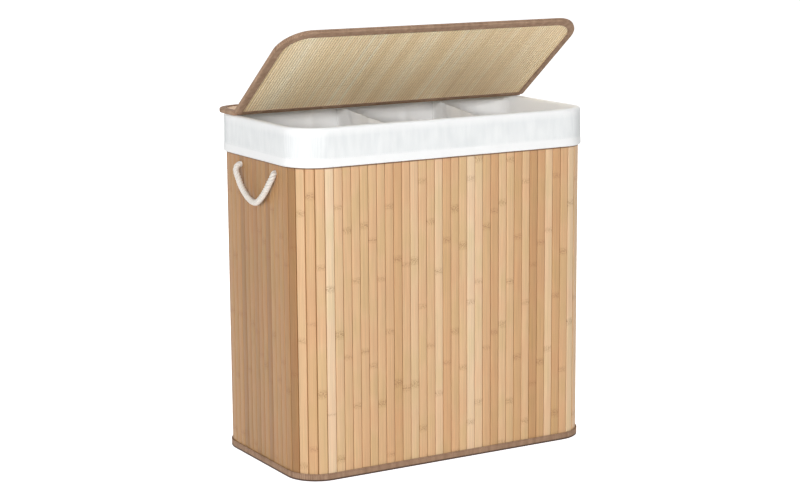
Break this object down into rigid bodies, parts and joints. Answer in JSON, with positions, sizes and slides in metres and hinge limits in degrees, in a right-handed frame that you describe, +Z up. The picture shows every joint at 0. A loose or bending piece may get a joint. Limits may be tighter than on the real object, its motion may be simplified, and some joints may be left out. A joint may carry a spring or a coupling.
{
  "type": "laundry hamper",
  "caption": "Rectangular bamboo slat laundry hamper with a divided cotton liner cuffed over the rim, a folding two-panel lid and rope handles.",
  "frame": {"origin": "on the floor under the middle of the hamper's base", "axes": "+X to the right as seen from the front, -Y to the front where the flap opens, +Z up"},
  "size_m": [0.6292, 0.3391, 0.7724],
  "materials": {
    "bamboo_slats": "flat bamboo slats, sanded and clear lacquered, satin",
    "bamboo_splints": "fine natural bamboo splints woven on thin cross threads, matt",
    "binding_cloth": "brown plain-weave polyester cloth binding, stitched, matt",
    "liner_cotton": "white plain-weave cotton, soft wrinkles, matt",
    "cotton_rope": "off-white three-strand twisted cotton rope, matt",
    "fibreboard": "plain hardboard, matt",
    "post_wood": "round bamboo dowel, matt",
    "post_cap_plastic": "moulded dark plastic caps, matt",
    "rim_wire_steel": "round spring steel wire, zinc plated"
  },
  "bodies": {
    "body": {"slats_front": "bamboo_slats", "slats_corner_front_right": "bamboo_slats", "slats_right": "bamboo_slats", "slats_corner_rear_right": "bamboo_slats", "slats_rear": "bamboo_slats", "slats_corner_rear_left": "bamboo_slats", "slats_left": "bamboo_slats", "slats_corner_front_left": "bamboo_slats", "binding_bottom": "binding_cloth", "binding_top": "binding_cloth", "base_cloth": "binding_cloth", "base_board": "fibreboard", "post_front_left": "post_wood", "post_foot_front_left": "post_cap_plastic", "post_cap_front_left": "post_cap_plastic", "post_front_right": "post_wood", "post_foot_front_right": "post_cap_plastic", "post_cap_front_right": "post_cap_plastic", "post_rear_right": "post_wood", "post_foot_rear_right": "post_cap_plastic", "post_cap_rear_right": "post_cap_plastic", "post_rear_left": "post_wood", "post_foot_rear_left": "post_cap_plastic", "post_cap_rear_left": "post_cap_plastic", "rim_wire": "rim_wire_steel", "liner_front": "liner_cotton", "liner_rear": "liner_cotton", "liner_left": "liner_cotton", "liner_right": "liner_cotton", "liner_floor": "liner_cotton", "divider_left": "liner_cotton", "divider_right": "liner_cotton", "liner_cuff": "liner_cotton", "rear_hinge_cloth": "binding_cloth", "knot_left_rear": "cotton_rope", "knot_left_front": "cotton_rope", "knot_right_rear": "cotton_rope", "knot_right_front": "cotton_rope"},
    "lid_strip": {"strip_slats": "bamboo_slats", "strip_board": "fibreboard", "strip_splints": "bamboo_splints", "strip_binding": "binding_cloth", "fold_tape": "binding_cloth"},
    "lid_flap": {"flap_slats": "bamboo_slats", "flap_board": "fibreboard", "flap_splints": "bamboo_splints", "flap_binding": "binding_cloth"},
    "handle_left": {"rope_left": "cotton_rope"},
    "handle_right": {"rope_right": "cotton_rope"}
  },
  "joints": [
    {"name": "lid_lift", "type": "hinge", "parent": "body", "child": "lid_strip", "pos_m": [0, 0.1653, 0.61165], "axis": [-1, 0, 0], "range_deg": [0, 90]},
    {"name": "lid_fold", "type": "hinge", "parent": "lid_strip", "child": "lid_flap", "pos_m": [0, 0.0735, 0.62015], "axis": [-1, 0, 0], "range_deg": [-37.2, 142.3]},
    {"name": "handle_left_swing", "type": "hinge", "parent": "body", "child": "handle_left", "pos_m": [-0.30349, 0, 0.528], "axis": [0, 1, 0], "range_deg": [0, 120]},
    {"name": "handle_right_swing", "type": "hinge", "parent": "body", "child": "handle_right", "pos_m": [0.30349, 0, 0.528], "axis": [0, -1, 0], "range_deg": [0, 120]}
  ]
}
